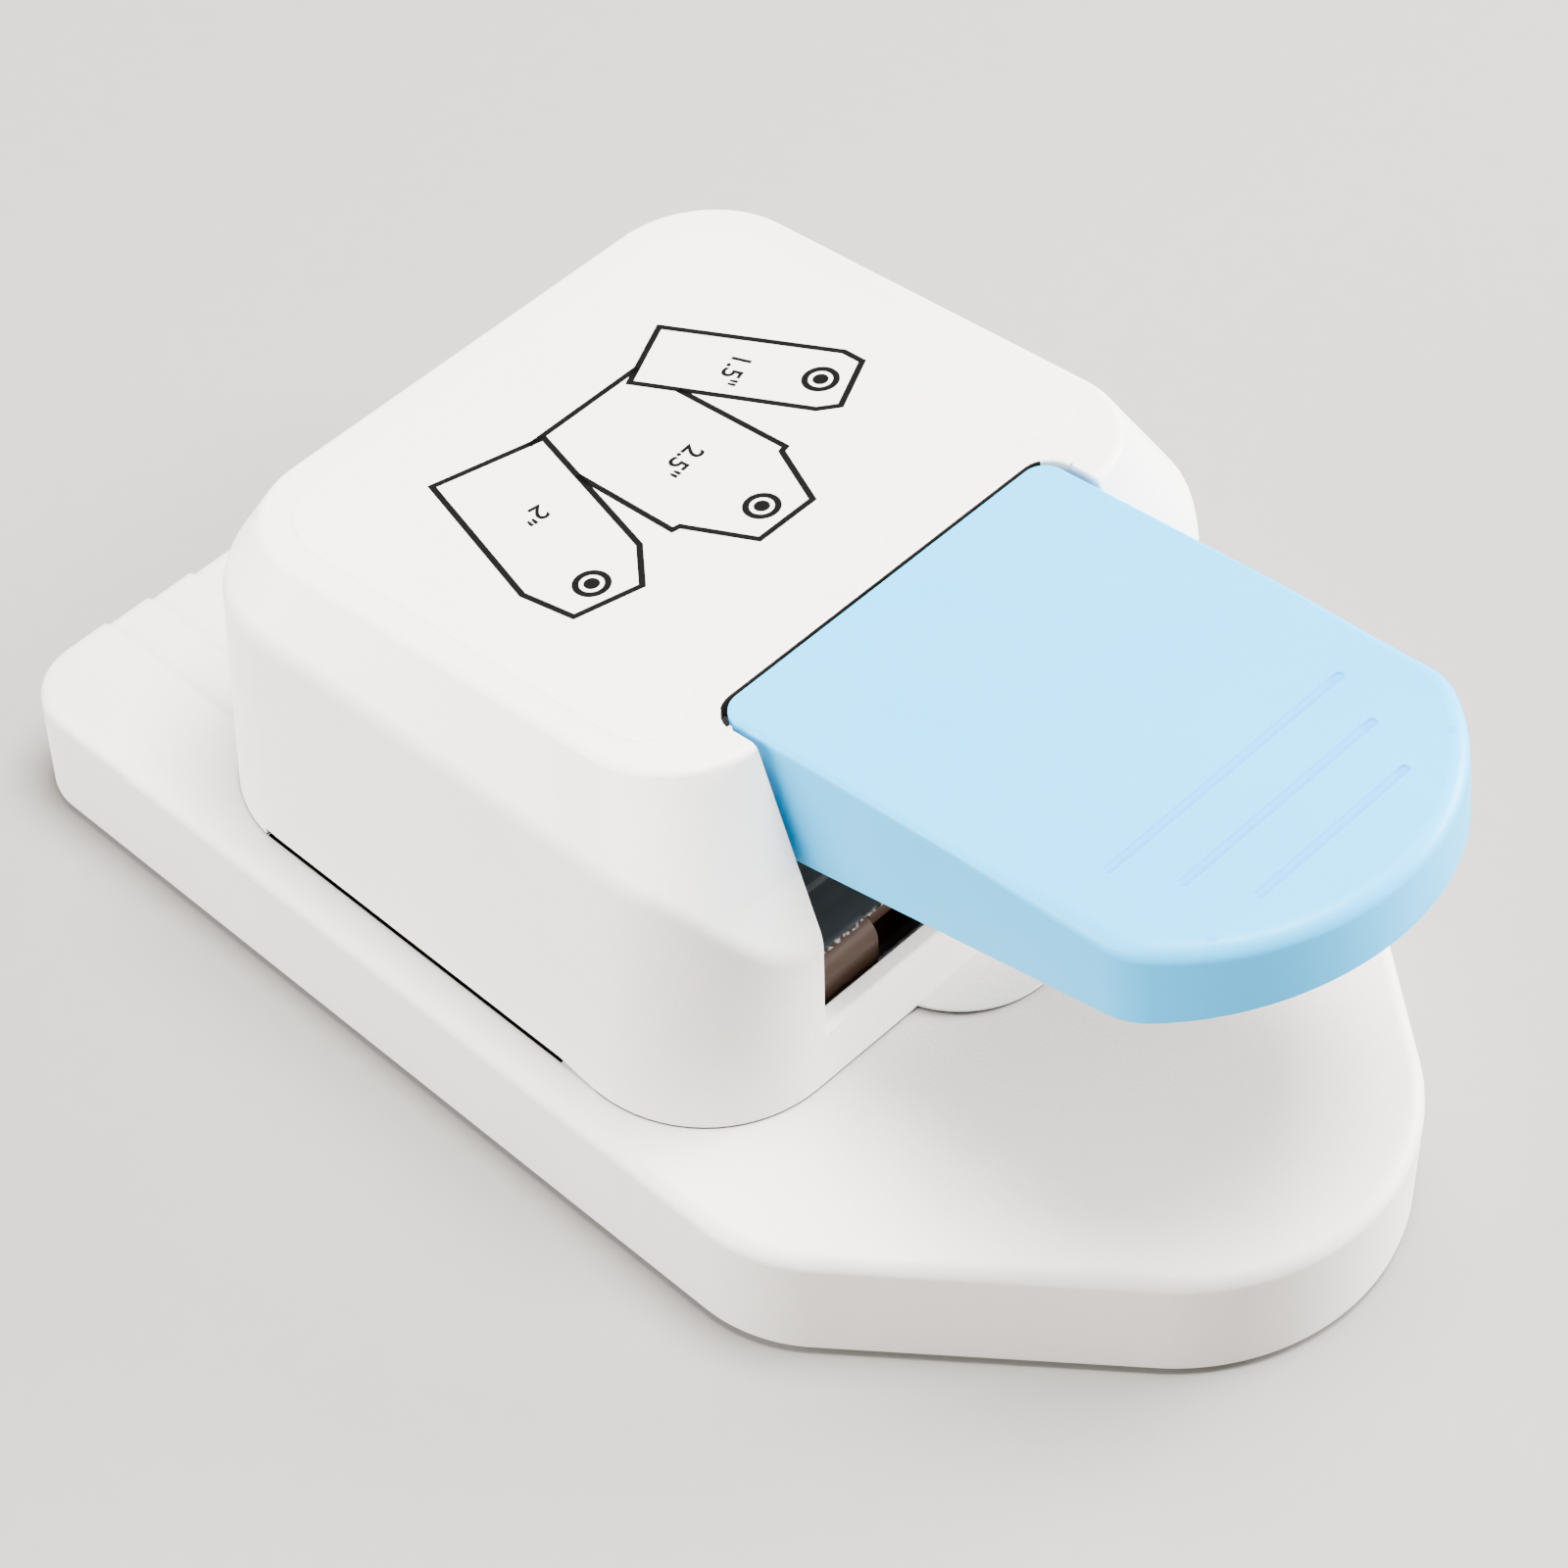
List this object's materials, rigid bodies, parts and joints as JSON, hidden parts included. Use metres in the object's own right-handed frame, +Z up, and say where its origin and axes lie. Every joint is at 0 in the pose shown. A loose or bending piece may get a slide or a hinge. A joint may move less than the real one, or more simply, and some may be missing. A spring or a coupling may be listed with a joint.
{
  "type": "craft punch",
  "caption": "Lever-operated gift tag punch: cuts the corners and string hole of a card tag in three widths.",
  "frame": {"origin": "on the table, below the middle of the base's plan", "axes": "+Z up, +Y towards the rear edge where the card goes in, -Y towards the lever's nose"},
  "size_m": [0.0944, 0.1578, 0.0701],
  "materials": {
    "base_plastic": "satin moulded",
    "case_plastic": "fine moulded texture",
    "lever_plastic": "satin moulded",
    "label": "printed film",
    "steel": "rolled, lightly oiled",
    "tool_steel": "ground",
    "hardware": "zinc plated",
    "spring_steel": "drawn wire",
    "nylon": "natural",
    "rubber": "matt"
  },
  "bodies": {
    "base": {"base_shell": "base_plastic", "rubber_feet": "rubber", "die_plate": "tool_steel", "die_screws": "hardware", "spacer_washers": "hardware", "frame_plate": "steel", "punch_guide": "steel", "guide_posts": "tool_steel", "pivot_bracket": "steel", "bracket_rivets": "hardware", "pivot_pin": "tool_steel", "pivot_clips": "spring_steel", "upper_shell": "case_plastic", "top_label": "label", "case_screws": "hardware", "chip_hinge_pin": "hardware"},
    "lever": {"lever_cover": "lever_plastic", "lever_arm": "steel", "lever_screws": "hardware", "press_shoe": "nylon", "shoe_pin": "tool_steel"},
    "punch": {"press_plate": "steel", "corner_cutter_left": "tool_steel", "corner_cutter_right": "tool_steel", "hole_cutter": "tool_steel", "cutter_screws": "hardware", "post_bushes": "nylon", "return_springs": "spring_steel"},
    "chip_door": {"chip_cover": "base_plastic"}
  },
  "joints": [
    {"name": "lever_hinge", "type": "hinge", "parent": "base", "child": "lever", "pos_m": [0, 0.042, 0.044], "axis": [1, 0, 0], "range_deg": [0, 9], "stiffness_Nm_per_rad": 12},
    {"name": "punch_slide", "type": "slide", "parent": "base", "child": "punch", "axis": [0, 0, -1], "range_m": [0, 0.00566], "stiffness_N_per_m": 900, "deforming": ["return_springs"]},
    {"name": "chip_door_hinge", "type": "hinge", "parent": "base", "child": "chip_door", "pos_m": [0, 0.0248, 0.0034], "axis": [1, 0, 0], "range_deg": [0, 85]}
  ],
  "couplings": [
    {"joint": "punch_slide", "follows": "lever_hinge", "m_per_rad": 0.036}
  ]
}
